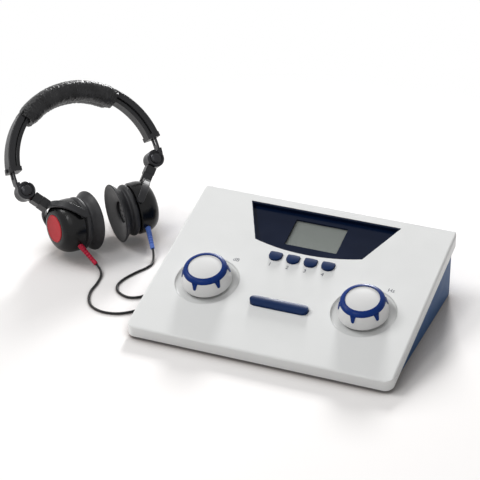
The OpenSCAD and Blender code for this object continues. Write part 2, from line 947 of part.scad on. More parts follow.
module power_switch_frame() {
    color("#1d1e20")
    difference() {
        union() {
            translate([rocker_x - rocker_frame.x / 2, base_rear, rocker_z - rocker_frame.y / 2])
                cube([rocker_frame.x, rocker_frame_t, rocker_frame.y]);
            translate([rocker_x, base_rear + cut - rocker_body_l / 2, rocker_z])
                cube([rocker_hole.x - 2 * seat, rocker_body_l, rocker_hole.y - 2 * seat], center = true);
        }
        translate([rocker_x, base_rear - rocker_sink, rocker_z])
            cylinder(h = rocker_w + 2 * fit, d = rocker_d + 2 * fit, center = true);
    }
}

// the rocker's two flats meet over its axis, a little proud of the frame
module power_rocker() {
    crest = rocker_sink + rocker_frame_t + 0.4;
    drop = rocker_d * tan(rocker_swing);
    color("#2b2c2e")
    translate([rocker_x, base_rear - rocker_sink, rocker_z])
        rotate(rocker_swing)
            linear_extrude(rocker_w, center = true)
            intersection() {
                circle(d = rocker_d);
                polygon([
                    [-rocker_d, -rocker_d], [rocker_d, -rocker_d], [rocker_d, crest - drop],
                    [0, crest], [-rocker_d, crest - drop]
                ]);
            }
}

module lead_plug(x) {
    start = base_rear + jack_nut_t + fit;
    color("#232427")
    translate([x, start, jack_z])
        rotate([-90, 0, 0])
            rotate_extrude()
                polygon([
                    [0, -plug_l], [1.4, -plug_l], [2.9, 2 - plug_l], [2, 4.2 - plug_l],
                    [2.4, 5.4 - plug_l], [plug_d / 2, plug_tip_l - plug_l],
                    [plug_d / 2, 0], [handle_d / 2 - 0.8, 0], [handle_d / 2, 0.8],
                    [handle_d / 2, handle_l * 0.35], [handle_d / 2 - 0.7, handle_l * 0.42],
                    [handle_d / 2 - 0.7, handle_l * 0.9], [handle_d / 2 - 2, handle_l],
                    [3.2, handle_l], [2, handle_l + plug_boot_l], [0, handle_l + plug_boot_l]
                ]);
}

// ---- headset ----

module headset_frame() {
    translate([headset_x, headset_y, headset_z])
        rotate([-headset_lean, 0, headset_turn])
            children();
}

// one side of the headset: -1 is the wearer's right, +1 the left
module on_side(side) {
    headset_frame()
        mirror([side < 0 ? 1 : 0, 0, 0])
            children();
}

// turned about the headband's centre from one angle above the horizontal to another
module band_arc(a0, a1) {
    translate([0, 0, band_z])
        rotate([90, 0, 0])
            rotate([0, 0, a0])
                rotate_extrude(angle = a1 - a0, $fn = 180)
                    children();
}

module ring_box(r0, r1, w) {
    translate([r0, -w / 2])
        square([r1 - r0, w]);
}

// a layer's section, with its edges rounded
module layer_section(r0, r1, w, edge) {
    translate([(r0 + r1) / 2, 0])
        round_rect(r1 - r0, w, edge);
}

module headband() {
    color("#333336")
    headset_frame()
        difference() {
            band_arc(arm_end, 180 - arm_end) {
                layer_section(outer_r0, outer_r1, band_depth, 1.2);
                layer_section(inner_r0, inner_r1, band_depth - 3, 1.2);
                ring_box(inner_r1 - 1.5, outer_r0 + 1.5, band_depth - 8);
            }
            for (m = [0, 1])
                mirror([m, 0, 0])
                    band_arc(arm_end - cut, arm_end + strip_in + slide_in + 1)
                        ring_box(channel_r[0], channel_r[1], channel_w);
        }
}

module band_end(side) {
    color("#232326")
    on_side(side)
        difference() {
            union() {
                band_arc(arm_end - collar_arc, arm_end)
                    layer_section(collar_r[0], collar_r[1], band_depth + 2 * collar_wall, 2);
                translate([0, 0, band_z])
                    rotate([0, collar_arc / 2 - arm_end, 0])
                        translate([outer_r1, 0, 0])
                            rotate([0, 90, 0])
                                cylinder(h = 2.4, d = 4);
            }
            band_arc(arm_end - collar_arc - cut, arm_end + cut)
                ring_box(channel_r[0], channel_r[1], channel_w);
        }
}

// the slotted steel strip, with the front half of the folding knuckle at its foot
module slider(side) {
    neck = [band_r - 2.4, band_r + 2.2];
    color("#8e9195")
    on_side(side) {
        difference() {
            band_arc(knuckle_a + strip_from, arm_end + strip_in)
                ring_box(band_r - strip_t / 2, band_r + strip_t / 2, strip_w);
            band_arc(knuckle_a + 11, arm_end + strip_in - 2)
                ring_box(band_r - strip_t, band_r + strip_t, strip_w - 6);
        }
        intersection() {
            band_arc(knuckle_a + 2, knuckle_a + neck_to)
                ring_box(neck[0], neck[1], strip_w + 4);
            translate([0, -disc_t, 0])
                cube([far, disc_t - fit / 2, far]);
        }
        translate([knuckle_x, 0, knuckle_z])
            rotate([90, 0, 0]) {
                rotate_extrude()
                    polygon([
                        [0, fit / 2], [knuckle_r, fit / 2], [knuckle_r, disc_t - 1], [knuckle_r - 1, disc_t],
                        [knuckle_r - 2.4, disc_t], [knuckle_r - 2.8, disc_t - 0.8], [knuckle_r - 3.4, disc_t - 0.8],
                        [knuckle_r - 3.6, disc_t], [knuckle_r - 4.6, disc_t + 1.1],
                        [knuckle_r - 6.4, disc_t + 1.9], [0, disc_t + 2.2]
                    ]);
                translate([0, 0, -disc_t - fit])
                    cylinder(h = disc_t + 1, d = pin_d);
                translate([0, 0, -disc_t - fit - 1.2])
                    cylinder(h = 1.2, d = pin_d + 3);
            }
    }
}

// puts its children at a cup's pivot, X towards the knuckle
module at_pivot(side) {
    on_side(side)
        translate([pivot_x, 0, 0])
            rotate([0, -arm_a, 0])
                children();
}

// the rear half of the knuckle with the block that carries the swivel
module stem(side) {
    block_end = arm_reach - knuckle_r - fit * 2;
    block_start = block_end - stem_l;
    color("#2b2b2e")
    at_pivot(side) {
        difference() {
            union() {
                translate([arm_reach, 0, 0])
                    rotate([-90, 0, 0])
                        translate([0, 0, fit / 2])
                            cylinder(h = disc_t - fit / 2, r = knuckle_r);
                translate([block_start + 1, fit / 2, -stem_w / 2 + 1])
                    cube([arm_reach - block_start - 4, disc_t - 2, stem_w - 2]);
            }
            translate([arm_reach, -cut, 0])
                rotate([-90, 0, 0])
                    cylinder(h = disc_t + 2 * cut, d = pin_d + 2 * pin_clear);
        }
        translate([block_start, -stem_w / 2, -stem_w / 2])
            cube([stem_l, stem_w, stem_w]);
        translate([block_start - swivel_pin_l, 0, 0])
            rotate([0, 90, 0])
                cylinder(h = swivel_pin_l + cut, d = pin_d);
    }
}

// everything beyond the swivel is turned by the rest angle about the stem's axis
module past_swivel(side) {
    at_pivot(side)
        rotate([-toe_in, 0, 0])
            children();
}

module fork(side) {
    neck_end = arm_reach - knuckle_r - fit * 2 - stem_l - swivel_gap;
    color("#2b2b2e")
    past_swivel(side)
        difference() {
            union() {
                rotate([0, 0, -90])
                    rotate_extrude(angle = 180, $fn = 120)
                        layer_section(fork_r, fork_r + fork_t, fork_w, 1.2);
                translate([fork_r + 0.6, -stem_w / 2, -stem_w / 2])
                    cube([neck_end - fork_r - 0.6, stem_w, stem_w]);
                for (a = [-90, 90])
                    rotate([a, 0, 0]) {
                        translate([0, 0, fork_r])
                            cylinder(h = fork_t, d = fork_w);
                        translate([0, 0, fork_r - pivot_l])
                            cylinder(h = pivot_l + cut, d = pivot_d);
                    }
            }
            translate([neck_end - swivel_pin_l - cut, 0, 0])
                rotate([0, 90, 0])
                    cylinder(h = swivel_pin_l + 2 * cut, d = pin_d + 2 * pin_clear);
        }
}

// puts its children on a cup's axis, Z outwards from the cushion's face
module on_cup(side) {
    past_swivel(side)
        rotate([0, arm_a, 0])
            translate([face_x - pivot_x, 0, 0])
                rotate([0, 90, 0])
                    children();
}

// runs along a lead's boot, Z away from the cup
module along_boot(side) {
    d = boot_to - boot_from;
    past_swivel(side)
        rotate([0, arm_a, 0])
            translate(boot_from)
                rotate([0, acos(d.z / norm(d)), atan2(d.y, d.x)])
                    children();
}

module cup_shell(side) {
    u0 = shell_u;
    u1 = shell_u + shell_band_l;
    r = shell_d / 2;
    wall = shell_wall;
    color("#1f1f21")
    difference() {
        on_cup(side)
            difference() {
                rotate_extrude()
                    polygon(concat(
                        [[capsule_d / 2 + fit, u0], [r - 1.2, u0], [r, u0 + 1.2]],
                        oval([dome_r, u1], r - dome_r, dome_l, 0, 90, 12),
                        [[0, u1 + dome_l], [0, u1 + dome_l - wall]],
                        oval([dome_r - wall, u1], r - dome_r, dome_l - wall, 90, 0, 8),
                        [[r - wall, u0 + wall], [capsule_d / 2 + fit, u0 + wall]]
                    ));
                translate([0, 0, u1 + dome_l - badge_sink])
                    cylinder(h = badge_sink + cut, d = badge_d + seat);
            }
        past_swivel(side)
            for (a = [-90, 90])
                rotate([a, 0, 0])
                    translate([0, 0, fork_r - pivot_l - fit])
                        cylinder(h = far, d = pivot_d + 2 * pin_clear);
        along_boot(side)
            translate([0, 0, -boot_root_l - cut])
                cylinder(h = boot_root_l + 6, r = boot_r[0] + 0.1);
    }
}

module badge(side, colour) {
    color(colour)
    on_cup(side)
        translate([0, 0, shell_u + shell_band_l + dome_l - badge_sink])
            rotate_extrude()
                polygon([
                    [0, 0], [badge_d / 2, 0], [badge_d / 2, badge_t - 0.5], [badge_d / 2 - 0.5, badge_t],
                    [badge_d / 2 - 1.6, badge_t], [badge_d / 2 - 1.9, badge_t - 0.25], [0, badge_t - 0.25]
                ]);
}

// flared rubber cushion: lip, dished face, drawn-in neck and the roll that grips the capsule
module cushion(side) {
    r = cushion_d / 2;
    hole = cushion_hole / 2;
    cavity = capsule_d / 2 + fit;
    neck = 24.6;
    roll = shell_d / 2 - 2.7;
    color("#38383b")
    on_cup(side)
        rotate_extrude()
            polygon(concat(
                [[hole, cushion_web - 2.4], [r - 2.2, 0.3]],
                arc([r - 1, 1], 1, -120, 60, 5),
                [[r - 1.8, 3.4], [r - 4.4, 6.2], [neck + 0.9, 8.4], [neck, 10.6]],
                arc([roll - 0.8, 15.2], 3.5, -70, 70, 6),
                [[roll - 0.4, shell_u - 0.6], [roll - 2, shell_u - 0.6]],
                [[roll - 2, shell_u], [cavity, shell_u], [cavity, cushion_web], [hole, cushion_web]]
            ));
}

module capsule(side) {
    r = capsule_d / 2;
    color("#6d7073")
    on_cup(side)
        difference() {
            translate([0, 0, cushion_web])
                cylinder(h = shell_u + 4 - cushion_web, r = r);
            for (a = [0:60:300])
                rotate(a)
                    translate([cushion_hole / 4, 0, cushion_web - cut])
                        cylinder(h = cut + 2, d = 2.4);
            translate([0, 0, cushion_web - cut])
                cylinder(h = cut + 2, d = 2.4);
        }
}

module lead_boot(side, colour) {
    ribs = 5;
    rib = 3.2;
    groove = 0.7;
    function boot_at(z) = lerp(boot_r[0], boot_r[1], z / boot_l);
    color(colour)
    along_boot(side)
        rotate_extrude()
            polygon(concat(
                [[0, -boot_root_l], [boot_r[0] - 0.2, -boot_root_l], [boot_r[0], 0]],
                [for (i = [0:ribs - 1])
                    let (z = boot_l - 4 - (ribs - i) * rib)
                    each [[boot_at(z), z], [boot_at(z) - groove, z + 0.3],
                        [boot_at(z + 1.3) - groove, z + 1.3], [boot_at(z + 1.6), z + 1.6]]],
                [[boot_at(boot_l - 1), boot_l - 1], [boot_at(boot_l) - 0.2, boot_l], [0, boot_l]]
            ));
}

// ---- head pad: a gathered leather sleeve round the band ----

pad_rings = 30;
pad_sides = 24;
pad_gather = 0.35;
pad_mid = inner_r0 + (outer_r1 - inner_r0) / 2 - (pad_h - (outer_r1 - inner_r0)) / 2 + 1.5;

// how full the sleeve is at a share of its length: drawn in at both ends
function pad_full(u) =
    let (e = min(u, 1 - u))
    lerp(0.8, 1, smooth(clamp01(e / 0.09))) + 0.02 * sin(180 * u);
function pad_point(i, k) =
    let (
        u = i / pad_rings,
        a = lerp(pad_end, 180 - pad_end, u),
        q = 360 * k / pad_sides,
        c = cos(q),
        s = sin(q),
        full = pad_full(u),
        gather = pad_gather * sin(360 * 9 * u + 40 * sin(2 * q)) * (c < 0 ? 1 : 0.4),
        r = pad_mid + (pad_h / 2 * full + gather) * sign(c) * pow(abs(c), 0.7),
        y = (pad_depth / 2 * full + gather) * sign(s) * pow(abs(s), 0.7)
    )
    [r * cos(a), y, band_z + r * sin(a)];

module headband_pad() {
    last = pad_rings * pad_sides;
    points = [for (i = [0:pad_rings]) for (k = [0:pad_sides - 1]) pad_point(i, k)];
    walls = [for (i = [0:pad_rings - 1]) for (k = [0:pad_sides - 1])
        let (a = i * pad_sides + k, b = i * pad_sides + (k + 1) % pad_sides)
        each [[a, b, a + pad_sides], [b, b + pad_sides, a + pad_sides]]];
    ends = [for (k = [1:pad_sides - 2]) each [[0, k + 1, k], [last, last + k, last + k + 1]]];
    color("#2a2a2c")
    headset_frame()
        difference() {
            polyhedron(points, concat(walls, ends), convexity = 6);
            translate([0, 0, band_z])
                rotate([90, 0, 0])
                    rotate([0, 0, pad_end - 4])
                        rotate_extrude(angle = 188 - 2 * pad_end, $fn = 72) {
                            ring_box(outer_r0 - fit, outer_r1 + fit, band_depth + 2 * fit);
                            ring_box(inner_r0 - fit, outer_r0, band_depth - 3 + 2 * fit);
                        }
        }
}

// ---- leads ----

coil_lift = lead_r + 0.05;

// a point of a coil, counted in turns from its start at the coil's front
function coil_point(x, u) =
    let (
        wave = u / coil_per_layer,
        r = coil_r + coil_step * coil_per_layer * (abs(1 - (wave - 2 * floor(wave / 2))) - 0.5),
        a = 360 * u - 90,
        k = min(coil_layers - 1, max(1, round(wave))),
        z = coil_lift + coil_step * (k - 1 + smooth(clamp01((u - k * coil_per_layer) / 0.5 + 0.5)))
    )
    [x + r * cos(a), coil_y + r * sin(a), z];
coil_n = round(coil_turns * coil_rings);
function coil_path(x) = [for (i = [0:coil_n]) coil_point(x, i / coil_rings)];
function coil_start(x) = coil_point(x, 0);
function coil_stop(x) = coil_point(x, coil_turns);

// least gap between turns, on points that lie more than a third of a turn apart
function coil_gap() =
    let (p = coil_path(0))
    min([for (i = [0:len(p) - 1]) for (j = [i + 8:1:len(p) - 1]) norm(p[i] - p[j])]) - lead_d;

module lead_coil(x) {
    p = coil_path(x);
    color("#3a3b3e")
    tube(concat([p[0] - [lead_d, 0, 0]], p, [p[len(p) - 1] - [lead_d, 0, 0]]),
        lead_r, coil_ring_sides, [1, 0, 0], [-1, 0, 0]);
}

// the stretch from a boot to its coil
function boot_end(side) = cup_point(side, boot_to);
function boot_way(side) = unit(cup_point(side, boot_to) - cup_point(side, boot_from));
function lead_path(side, route, x) = [
    for (p = spline(concat(
        [boot_end(side) + boot_way(side) * fit, boot_end(side) + boot_way(side) * lead_d],
        route,
        [coil_start(x) - [4 * lead_d, 0, 0], coil_start(x) - [lead_d, 0, 0]]
    ), 2)) [p.x, p.y, max(p.z, coil_lift)]
];

module lead(side, route, x) {
    color("#3a3b3e")
    tube(lead_path(side, route, x), lead_r, lead_sides, boot_way(side), [1, 0, 0]);
}

// the stretch from a coil's last turn up to its plug
plug_end_y = base_rear + jack_nut_t + fit + handle_l + plug_boot_l;
function tail_path(x, jack_x) = spline(concat(
    [coil_stop(x) - [lead_d, 0, 0], coil_stop(x) - [2 * lead_d, 0, 0]],
    [for (p = tail_route) [jack_x + p.x, rear_y + p.y, coil_stop(x).z + p.z]],
    [[jack_x, plug_end_y + 3, jack_z], [jack_x, plug_end_y, jack_z]]
), 2);

module lead_tail(x, jack_x) {
    color("#3a3b3e")
    tube(tail_path(x, jack_x), lead_r, lead_sides, [-1, 0, 0], [0, -1, 0]);
}

left_coil_x = left_jack_x + coil_offset;
right_coil_x = right_jack_x + coil_offset;

echo(coil_gap = coil_gap());
echo(coil_length = path_length(coil_path(0)));
echo(right_lead_length = path_length(lead_path(-1, right_route, right_coil_x)));
echo(left_lead_length = path_length(lead_path(1, left_route, left_coil_x)));
echo(tail_length = path_length(tail_path(left_coil_x, left_jack_x)));

top_cover();
base_shell();
display_bezel();
display_lens();
lcd_module();
main_board();
key_switches();
tone_switch();
encoder(-dial_x);  // level_encoder
encoder(dial_x);  // frequency_encoder
phone_jack(right_jack_x);  // right_phone_jack
phone_jack(left_jack_x);  // left_phone_jack
power_inlet();
power_switch_frame();
power_rocker();
feet();
base_screws();
board_screws();
key_button(0);  // button_1
key_button(1);  // button_2
key_button(2);  // button_3
key_button(3);  // button_4
tone_bar();
dial_skirt(-dial_x);  // level_dial_skirt
dial_ring(-dial_x);  // level_dial_ring
dial_cap(-dial_x);  // level_dial_cap
dial_shaft(-dial_x);  // level_dial_shaft
dial_skirt(dial_x);  // frequency_dial_skirt
dial_ring(dial_x);  // frequency_dial_ring
dial_cap(dial_x);  // frequency_dial_cap
dial_shaft(dial_x);  // frequency_dial_shaft
headband();
headband_pad();
band_end(-1);  // right_band_end
band_end(1);  // left_band_end
slider(-1);  // right_slider
slider(1);  // left_slider
stem(-1);  // right_stem
stem(1);  // left_stem
fork(-1);  // right_fork
fork(1);  // left_fork
cup_shell(-1);  // right_cup_shell
cup_shell(1);  // left_cup_shell
badge(-1, "#c8202c");  // right_badge
badge(1, "#3a62c4");  // left_badge
cushion(-1);  // right_cushion
cushion(1);  // left_cushion
capsule(-1);  // right_capsule
capsule(1);  // left_capsule
lead_boot(-1, "#c8202c");  // right_lead_boot
lead_boot(1, "#4a6fd0");  // left_lead_boot
lead(-1, right_route, right_coil_x);  // right_lead
lead(1, left_route, left_coil_x);  // left_lead
lead_coil(right_coil_x);  // right_lead_coil
lead_coil(left_coil_x);  // left_lead_coil
lead_tail(right_coil_x, right_jack_x);  // right_lead_tail
lead_tail(left_coil_x, left_jack_x);  // left_lead_tail
lead_plug(right_jack_x);  // right_plug
lead_plug(left_jack_x);  // left_plug
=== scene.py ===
import math

import bmesh
import bpy
from mathutils import Matrix, Vector, noise


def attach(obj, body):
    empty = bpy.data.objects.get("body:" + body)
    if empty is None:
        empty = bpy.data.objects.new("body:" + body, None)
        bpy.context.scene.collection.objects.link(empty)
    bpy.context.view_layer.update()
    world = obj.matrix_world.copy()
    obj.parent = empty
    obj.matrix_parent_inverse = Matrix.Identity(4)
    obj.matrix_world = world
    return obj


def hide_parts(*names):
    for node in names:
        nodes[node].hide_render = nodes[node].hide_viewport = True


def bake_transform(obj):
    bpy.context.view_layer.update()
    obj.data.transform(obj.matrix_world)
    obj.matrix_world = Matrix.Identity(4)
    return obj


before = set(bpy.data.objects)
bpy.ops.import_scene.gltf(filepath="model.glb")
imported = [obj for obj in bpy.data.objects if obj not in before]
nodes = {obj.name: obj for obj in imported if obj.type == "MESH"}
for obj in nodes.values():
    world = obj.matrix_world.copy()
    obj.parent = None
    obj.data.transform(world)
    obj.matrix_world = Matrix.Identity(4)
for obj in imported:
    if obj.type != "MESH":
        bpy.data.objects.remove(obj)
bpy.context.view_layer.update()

MM = 0.001


def rad(a):
    return math.radians(a)


def rx(a):
    return Matrix.Rotation(rad(a), 4, "X")


def ry(a):
    return Matrix.Rotation(rad(a), 4, "Y")


def rz(a):
    return Matrix.Rotation(rad(a), 4, "Z")


def at(x, y, z):
    return Matrix.Translation((x * MM, y * MM, z * MM))


def place_in_scene(name, data):
    obj = bpy.data.objects.new(name, data)
    bpy.context.scene.collection.objects.link(obj)
    return obj


# ---------------------------------------------------------------- camera

AZ, EL = rad(22.2), rad(28.72)
CAMERA_AT = (0.5795, -1.5644, 1.0003)
SENSOR_W = 36
FOCAL_PX, PHOTO_PX = 1900, 480
camera_data = bpy.data.cameras.new("camera")
camera_data.sensor_fit = "HORIZONTAL"
camera_data.sensor_width = SENSOR_W
camera_data.lens = SENSOR_W * FOCAL_PX / PHOTO_PX
camera_data.clip_start = 0.05
camera_data.clip_end = 50
camera = place_in_scene("camera", camera_data)
right = Vector((math.cos(AZ), math.sin(AZ), 0))
back = Vector((math.sin(AZ) * math.cos(EL), -math.cos(AZ) * math.cos(EL), math.sin(EL)))
up = back.cross(right)
camera.matrix_world = Matrix(
    (
        (right.x, up.x, back.x, CAMERA_AT[0]),
        (right.y, up.y, back.y, CAMERA_AT[1]),
        (right.z, up.z, back.z, CAMERA_AT[2]),
        (0, 0, 0, 1),
    )
)
bpy.context.scene.camera = camera

# ---------------------------------------------------------------- places, as in the part's source

CONSOLE_D, FRONT_H, REAR_H = 210, 14, 74
SLOPE = math.degrees(math.atan((REAR_H - FRONT_H) / CONSOLE_D))
REAR_Y = CONSOLE_D / 2
PANEL = at(0, -CONSOLE_D / 2, FRONT_H) @ rx(SLOPE)
DIAL_X, DIAL_T = 84, 81
KEY_PITCH = 19

HEADSET_AT, HEADSET_TURN, HEADSET_LEAN = (-244, 62, 33.9), 52, 38
HEADSET = at(*HEADSET_AT) @ rz(HEADSET_TURN) @ rx(-HEADSET_LEAN)
BAND_Z, KNUCKLE_X, KNUCKLE_Z, PIVOT_X = 61.5, 77.5, 47, 37.2
ARM_A = math.degrees(math.atan2(KNUCKLE_Z, KNUCKLE_X - PIVOT_X))
TOE = 8
FACE_X = 15
FLIP = Matrix.Diagonal((-1, 1, 1, 1))
SIDE = {"right": -1, "left": 1}


def side_frame(side):
    return HEADSET @ FLIP if side < 0 else HEADSET


def past_swivel(side):
    return side_frame(side) @ at(PIVOT_X, 0, 0) @ ry(-ARM_A) @ rx(-TOE)


def pivot_frame(side):
    """At a cup's pivot, X outwards along the cup's axis."""
    return past_swivel(side) @ ry(ARM_A)


def cup_frame(side):
    """On a cup's axis, Z outwards from the cushion's face."""
    return pivot_frame(side) @ at(FACE_X - PIVOT_X, 0, 0) @ ry(90)


# ---------------------------------------------------------------- mesh helpers


def new_object(name, verts, faces, mirrored=False):
    mesh = bpy.data.meshes.new(name)
    if mirrored:
        faces = [tuple(reversed(f)) for f in faces]
    mesh.from_pydata([tuple(v) for v in verts], [], faces)
    mesh.validate()
    mesh.polygons.foreach_set("use_smooth", [True] * len(mesh.polygons))
    return place_in_scene(name, mesh)


def face_outwards(obj):
    bm = bmesh.new()
    bm.from_mesh(obj.data)
    bmesh.ops.recalc_face_normals(bm, faces=bm.faces)
    bm.to_mesh(obj.data)
    bm.free()


def lathe(profile, n):
    """A solid of revolution about Z, from the (r, z) points in mm of a closed outline."""
    verts, faces = [], []
    m = len(profile)
    for i in range(n):
        a = 2 * math.pi * i / n
        for r, z in profile:
            verts.append(Vector((r * math.cos(a) * MM, r * math.sin(a) * MM, z * MM)))
    for i in range(n):
        j = (i + 1) % n
        for k in range(m):
            q = (k + 1) % m
            faces.append((i * m + k, j * m + k, j * m + q, i * m + q))
    return verts, faces


def smooth_line(points, steps):
    """Catmull-Rom through points, as the part's source draws its leads."""
    out = []
    for i in range(len(points) - 1):
        a, b = points[max(0, i - 1)], points[i]
        c, d = points[i + 1], points[min(len(points) - 1, i + 2)]
        for k in range(steps):
            u = k / steps
            cubic = 3 * b - a - 3 * c + d
            out.append(b + 0.5 * u * (c - a + u * (2 * a - 5 * b + 4 * c - d + u * cubic)))
    out.append(points[-1])
    return out


def resample(points, step):
    """Even steps along a line of points, both ends kept."""
    lengths = [0.0]
    for p, q in zip(points, points[1:]):
        lengths.append(lengths[-1] + (q - p).length)
    total = lengths[-1]
    n = max(2, round(total / step))
    out, j = [], 0
    for i in range(n + 1):
        s = total * i / n
        while j < len(points) - 2 and lengths[j + 1] < s:
            j += 1
        span = lengths[j + 1] - lengths[j]
        out.append(points[j].lerp(points[j + 1], (s - lengths[j]) / span if span else 0))
    return out


def part_of(points, start, end):
    """The stretch of a line between two lengths along it."""
    out, s = [], 0.0
    for p, q in zip(points, points[1:]):
        d = (q - p).length
        if s + d > start and s < end:
            if not out:
                out.append(p.lerp(q, max(0, (start - s) / d)))
            out.append(p.lerp(q, min(1, (end - s) / d)))
        s += d
    return out


def length_of(points):
    return sum((q - p).length for p, q in zip(points, points[1:]))


def tube_mesh(name, points, radius, sides):
    """A closed tube along points, its rings turned as little as possible from one to the next."""
    last = len(points) - 1
    verts, faces = [], []
    side = None
    for i, p in enumerate(points):
        d = (points[min(last, i + 1)] - points[max(0, i - 1)]).normalized()
        if side is None:
            side = Vector((0, 0, 1)).cross(d)
            if side.length < 1e-6:
                side = Vector((1, 0, 0))
        side = (side - d * side.dot(d)).normalized()
        other = d.cross(side)
        for k in range(sides):
            a = 2 * math.pi * k / sides
            verts.append(p + radius * (math.cos(a) * side + math.sin(a) * other))
    for i in range(last):
        for k in range(sides):
            q = (k + 1) % sides
            faces.append((i * sides + k, i * sides + q, (i + 1) * sides + q, (i + 1) * sides + k))
    faces.append(tuple(reversed(range(sides))))
    faces.append(tuple(last * sides + k for k in range(sides)))
    return new_object(name, verts, faces)


# ---------------------------------------------------------------- leads

LEAD_D = 2.5
LIFT = LEAD_D / 2 + 0.05
LEAD_SIDES = 12
LINE_STEPS = 6
COIL_TURNS, COIL_LAYERS, COIL_STEP, COIL_R = 9.5, 4, 3.1, 15
COIL_Y = REAR_Y + 37
COIL_OFFSET = 35
COIL_RINGS = 36
LAYER_CHANGE = 0.5
JACK_Z = 26
JACK_X = {"right": -30, "left": -100}
BASE_REAR = REAR_Y - 3.6
JACK_NUT_T, FIT, HANDLE_L, PLUG_BOOT_L = 2.2, 0.3, 36, 10
PLUG_END_Y = BASE_REAR + JACK_NUT_T + FIT + HANDLE_L + PLUG_BOOT_L
PLUG_STRAIGHT = 3
BOOT_FROM, BOOT_TO = Vector((4.8, -9.5, -26)), Vector((-1.2, -18.7, -52.5))

ROUTES = {
    "right": [
        (-219.6, 1.4, 4.2), (-216.4, -3.2, 2.1), (-214.4, -10, 1.3), (-212.6, -22, 1.3),
        (-211.5, -38, 1.3), (-207, -52, 1.3), (-199.5, -63, 1.3), (-190, -69, 1.3),
        (-178, -71, 1.3), (-164, -67, 1.3), (-151, -55, 1.3), (-145.5, -40, 1.3),
        (-145.2, 30, 1.3), (-145.5, 70, 1.3), (-144, 95, 1.3), (-134, 109, 1.3),
        (-116, 113.5, 1.3), (-90, 113.5, 1.3), (-40, 113.5, 1.3), (-25, 116, 1.3),
        (-12, 122, 1.3),
    ],
    "left": [
        (-180.2, 51.2, 4.2), (-177.9, 45, 2), (-176.6, 38, 1.3), (-178.8, 28, 1.3),
        (-184.5, 15.5, 1.3), (-190, -0.5, 1.3), (-191.5, -13, 1.3), (-188.5, -23, 1.3),
        (-182, -30, 1.3), (-169.5, -34.3, 1.3), (-157.5, -27, 1.3), (-152, -8, 1.3),
        (-151, 65, 1.3), (-150, 95, 1.3), (-143, 112, 1.3), (-126, 121.5, 1.3),
        (-100, 124.5, 1.3),
    ],
}
TAIL = [(24, 56, 0), (14, 61, 3), (6, 65.5, 8), (0.8, 65.5, 13), (0, 60, 15.5)]

# A lead is cut into runs, one for each body in the chain from cup to console, and the last one lies
# still, attached to the console.
RUN_ENDS = (0.0, 0.033, 0.066, 0.099, 0.132)
BENDING_STEP, LYING_STEP = 0.0016, 0.0022


def coil_point(x, u):
    """The coil's line after u turns: it winds inwards and outwards by turns, layer on layer."""
    per_layer = COIL_TURNS / COIL_LAYERS
    wave = u / per_layer
    r = COIL_R + COIL_STEP * per_layer * (abs(1 - (wave - 2 * math.floor(wave / 2))) - 0.5)
    a = rad(360 * u - 90)
    k = min(COIL_LAYERS - 1, max(1, round(wave)))
    t = min(1, max(0, (u - k * per_layer) / LAYER_CHANGE + 0.5))
    z = LIFT + COIL_STEP * (k - 1 + t * t * (3 - 2 * t))
    return Vector((x + r * math.cos(a), COIL_Y + r * math.sin(a), z))


def lead_points(name):
    """The whole lead, from its boot's end to its plug, in metres."""
    side, jack = SIDE[name], JACK_X[name]
    x = jack + COIL_OFFSET
    place = pivot_frame(side)
    end = place @ (BOOT_TO * MM) / MM
    way = (place @ (BOOT_TO * MM) - place @ (BOOT_FROM * MM)).normalized()
    start = coil_point(x, 0)
    first = smooth_line(
        [end, end + way * LEAD_D]
        + [Vector(p) for p in ROUTES[name]]
        + [start - Vector((4 * LEAD_D, 0, 0)), start - Vector((LEAD_D, 0, 0))],
        LINE_STEPS,
    )
    first = [Vector((p.x, p.y, max(p.z, LIFT))) for p in first]
    rings = round(COIL_TURNS * COIL_RINGS)
    coil = [coil_point(x, COIL_TURNS * i / rings) for i in range(rings + 1)]
    stop = coil[-1]
    plug_end = Vector((jack, PLUG_END_Y, JACK_Z))
    tail = smooth_line(
        [stop - Vector((LEAD_D, 0, 0)), stop - Vector((2 * LEAD_D, 0, 0))]
        + [Vector((jack + p[0], REAR_Y + p[1], stop.z + p[2])) for p in TAIL]
        + [plug_end + Vector((0, PLUG_STRAIGHT, 0)), plug_end],
        LINE_STEPS,
    )
    return [p * MM for p in first + coil + tail]


leads = []
for name in ("right", "left"):
    whole = lead_points(name)
    cuts = [*RUN_ENDS, length_of(whole)]
    chain = [
        f"{name}_cup", f"{name}_fork_body", f"{name}_stem_body", f"{name}_slider_body", "console",
    ]
    for i, body in enumerate(chain):
        lies = body == "console"
        path = resample(part_of(whole, cuts[i], cuts[i + 1]), LYING_STEP if lies else BENDING_STEP)
        obj = tube_mesh(f"{name}_lead_run_{i + 1}", path, LEAD_D / 2 * MM, LEAD_SIDES)
        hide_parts(f"{name}_lead")
        if lies:
            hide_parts(f"{name}_lead_coil", f"{name}_lead_tail")
            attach(obj, "console")
        else:
            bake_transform(obj)
        leads.append(obj)

# ---------------------------------------------------------------- shader nodes


def add(tree, kind, **props):
    n = tree.nodes.new(kind)
    for k, v in props.items():
        setattr(n, k, v)
    return n


def ramp(tree, value, low, high, out_low, out_high, kind="LINEAR"):
    """A value between low and high, taken to between out_low and out_high."""
    n = add(tree, "ShaderNodeMapRange", interpolation_type=kind)
    n.inputs["From Min"].default_value = low
    n.inputs["From Max"].default_value = high
    n.inputs["To Min"].default_value = out_low
    n.inputs["To Max"].default_value = out_high
    tree.links.new(value, n.inputs["Value"])
    return n.outputs["Result"]


def maths(tree, operation, a, b):
    n = add(tree, "ShaderNodeMath", operation=operation)
    tree.links.new(a, n.inputs[0])
    tree.links.new(b, n.inputs[1])
    return n.outputs[0]


